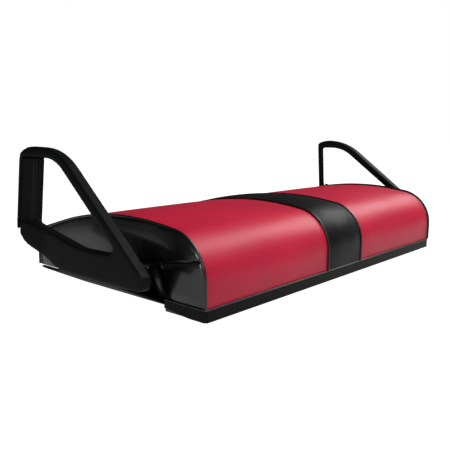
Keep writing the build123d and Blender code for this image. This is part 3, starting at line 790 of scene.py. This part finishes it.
for part in ("front", "rear"):
    ring = trim_line(WELT_RADIUS, WELT_RADIUS * 1.5, part, TRIM_TOP + WELT_RADIUS)
    welt = along_lines(f"welt_{part}", [ring], CORD, "seat", Radius=WELT_RADIUS, Sides=10,
                       Material=PIPING_VINYL)
    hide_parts(f"trim_welt_{part}")
print("piping radius", PIPING_RADIUS, "welt radius", round(WELT_RADIUS, 4))

# %% [markdown]
# ## Stitches on the end seam
#
# A row of short stitches runs on each side of the seam on the ends. Dark threads are lost in black
# vinyl from far away, but close to the camera they catch the light and give the seam its scale.

# %% Sew the end seams
STITCH_OFFSET = 0.0030


def seam_row(side, offset):
    """A line of points a little above or below the seam, lying on the swollen end panel."""
    seam = spaced(end_seam, 0.004)
    seam = seam + facing(seam) * offset
    seam = seam[distance_to(seam, end_edge) > 0.008]
    depth = end_swell(seam, end_edge, end_seam)
    return np.column_stack([side * (END + depth + 0.0001), seam])


for side, word in ((-1, "left"), (1, "right")):
    rows = [seam_row(side, offset) for offset in (-STITCH_OFFSET, STITCH_OFFSET)]
    threads = along_lines(f"seam_stitches_{word}", rows, STITCHES, "seat", Pitch=0.0048,
                          **{"Stitch Length": 0.0034, "Thread Radius": 0.00045, "Material": THREAD})
print("stitch faces on each end:", len(threads.data.polygons))

# %% [markdown]
# ## Edge trim
#
# The trim is an extrusion of black plastic with rounded lips, bent round the corners of the base.
# Its section is drawn once and carried round the outline. Rounded lips matter more than anything
# else here: a sharp edge gives no highlight, and the band would look like paint. On the ends its
# lower lip rises a little towards the restraint, and along the rear it is one straight run.

# %% Bend the edge trim
TRIM_CORNER = 0.0045
TRIM_TAPER, TAPER_LENGTH = 0.007, 0.070     # rise of the lower lip, and the length it takes


def trim_section():
    """The trim's section as (outwards, up) points, anticlockwise, with lips and a shallow waist."""
    height, thick, lip = TRIM_TOP - BASE_BOTTOM, TRIM_THICKNESS, 0.0011
    inside_face = 0.0001
    section = rounded_line([(inside_face, 0.0), (thick, 0.0), (thick, height), (inside_face, height)],
                           [lip, lip], 5)
    waist = 0.0006 * ease(np.minimum(section[:, 1] - 0.003, height - 0.003 - section[:, 1]), 0.003)
    section[:, 0] -= waist * (section[:, 0] > thick / 2)
    extra = np.column_stack([np.full(7, thick - 0.0006), np.linspace(0.006, height - 0.006, 7)])
    middle = len(section) // 2
    return np.concatenate([section[:middle], extra, section[middle:]])


def bend_trim(part):
    """The section carried along its path; a path's left side is outside at the rear only."""
    path = trim_line(0.0, TRIM_CORNER, part, BASE_BOTTOM)[:, :2]
    outward = 1 if part == "rear" else -1
    out = facing(path)
    section = trim_section()
    rise = TRIM_TAPER * ease(path[:, 1] - NOTCH_FRONT + TAPER_LENGTH, TAPER_LENGTH) * (part == "front")
    points = [(*(p + n * outward * a), BASE_BOTTOM + b + lift * (1 - b / (TRIM_TOP - BASE_BOTTOM)))
              for p, n, lift in zip(path, out, rise) for a, b in section]
    rows, columns = len(path), len(section)
    faces = grid_faces(rows, columns)
    last = columns - 1
    faces += [(r * columns + last, r * columns, (r + 1) * columns, (r + 1) * columns + last)
              for r in range(rows - 1)]
    faces += [tuple(range(columns))[::-1], tuple(range((rows - 1) * columns, rows * columns))]
    if outward > 0:
        faces = [f[::-1] for f in faces]
    trim = add_piece(f"base_trim_{part}", points, faces, TRIM_PLASTIC)
    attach(trim, "seat")
    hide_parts(f"edge_trim_{part}")
    return trim


trims = [bend_trim(part) for part in ("front", "rear")]
print("trim faces:", [len(t.data.polygons) for t in trims])

# %% [markdown]
# ## Hip restraints
#
# Each loop is one moulding: a bar, a turned post with a channel, a body, and the wing that carries it.
# The frame has the shape with sharp edges. Bevels fail where curved and leaning faces meet, so the
# edges are softened as a mould maker's polish would: the mesh is rebuilt from small even cells and
# then relaxed, which rounds every edge alike and leaves flat faces flat. The leaning loop is stood
# upright first and leaned back after, so that its long edges run along the cells and stay straight.


# %% Soften the restraints
def soften(name, node, lean, cell, rounds, material):
    """A copy of a CAD node, stood upright, rebuilt in even cells and relaxed to round its edges."""
    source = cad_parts[node]
    upright = Matrix.Rotation(math.radians(lean), 4, "Y")
    piece = bpy.data.objects.new(name, source.data.copy())
    piece.data.transform(upright)
    scene.collection.objects.link(piece)
    for kind, values in (("WELD", {"merge_threshold": 0.00001}),
                         ("REMESH", {"mode": "VOXEL", "voxel_size": cell}),
                         ("SMOOTH", {"factor": 0.5, "iterations": rounds})):
        modifier = piece.modifiers.new(kind.lower(), kind)
        for key, value in values.items():
            setattr(modifier, key, value)
    settled = piece.evaluated_get(bpy.context.evaluated_depsgraph_get())
    mesh = bpy.data.meshes.new_from_object(settled)
    mesh.name = name
    mesh.transform(upright.inverted())
    mesh.materials.clear()
    mesh.materials.append(material)
    mesh.shade_smooth()
    bpy.data.objects.remove(piece)
    piece = bpy.data.objects.new(name, mesh)
    scene.collection.objects.link(piece)
    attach(piece, "seat")
    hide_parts(node)
    return piece


CELL, ROUNDS = ((0.0021, 30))
LEAN = 5.26        # degrees
for side, word in ((-1, "left"), (1, "right")):
    loop = soften(f"restraint_{word}", f"hip_restraint_{word}", side * LEAN, CELL, ROUNDS,
                  RESTRAINT_PLASTIC)
print("restraint faces:", len(loop.data.polygons))

# %% [markdown]
# ## Floor and light
#
# Glossy black shows only what it reflects. A few large soft lights give it broad, calm highlights: one
# high in front and one at the far end draw the band along the front curve, and one beside the near
# end lights the panel and the restraint. The pale surround and floor are bright to the camera, as in
# a white studio, but the surround lights the object only a little, so that black stays black. The
# floor is also seen in reflections: its bright patch is what makes the end panels look glossy.


# %% Light the studio
def softbox(name, place, target, width, height, power):
    """A rectangular area light turned towards a point."""
    light = bpy.data.lights.new(name, "AREA")
    light.shape = "RECTANGLE"
    light.size, light.size_y, light.energy = width, height, power
    box = bpy.data.objects.new(name, light)
    scene.collection.objects.link(box)
    box.location = place
    box.rotation_mode = "QUATERNION"
    box.rotation_quaternion = (Vector(target) - Vector(place)).to_track_quat("-Z", "Y")
    return box


softbox("light_high", (0.5, -1.2, 2.6), (0.0, 0.0, 0.1), 2.0, 1.4, 50.0)
softbox("light_far_end", (2.6, -0.6, 1.9), (0.0, -0.1, 0.1), 1.6, 1.2, 30.0)
softbox("light_near_end", (-2.3, -0.45, 0.62), (-0.45, -0.2, 0.10), 0.45, 0.7, 10.0)
softbox("light_front", (-1.3, -2.8, 1.5), (-0.1, -0.2, 0.1), 1.2, 0.8, 14.0)

world = bpy.data.worlds.new("studio")
scene.world = world
world.use_nodes = True
surround = world.node_tree.nodes["Background"]
seen = add_node(world.node_tree, "ShaderNodeLightPath")
strength = add_node(world.node_tree, "ShaderNodeMapRange",
                    {"Value": seen.outputs["Is Camera Ray"], "To Min": 0.04, "To Max": 1.0})
world.node_tree.links.new(strength.outputs[0], surround.inputs["Strength"])
surround.inputs["Color"].default_value = (1.0, 1.0, 1.0, 1.0)

paint = bpy.data.materials.new("studio_floor")
paint.use_nodes = True
floor_shader = paint.node_tree.nodes["Principled BSDF"]
floor_shader.inputs["Base Color"].default_value = (0.42, 0.42, 0.42, 1.0)
floor_shader.inputs["Roughness"].default_value = 0.9
glow = add_node(paint.node_tree, "ShaderNodeLightPath")
FLOOR_GLOW, MIRRORED_GLOW = 1.05, 0.34
mirrored = calculate(paint.node_tree, "MULTIPLY", glow.outputs["Is Glossy Ray"], MIRRORED_GLOW)
glow_strength = calculate(paint.node_tree, "MULTIPLY_ADD", glow.outputs["Is Camera Ray"], FLOOR_GLOW)
paint.node_tree.links.new(mirrored, glow_strength.node.inputs[2])
floor_shader.inputs["Emission Color"].default_value = (1.0, 1.0, 1.0, 1.0)
paint.node_tree.links.new(glow_strength, floor_shader.inputs["Emission Strength"])

FLOOR_REACH = 20
floor = add_piece("studio_floor", [(-FLOOR_REACH, -FLOOR_REACH, 0), (FLOOR_REACH, -FLOOR_REACH, 0),
                                   (FLOOR_REACH, FLOOR_REACH, 0), (-FLOOR_REACH, FLOOR_REACH, 0)],
                  [(0, 1, 2, 3)], paint)
scene.view_settings.view_transform = "Standard"
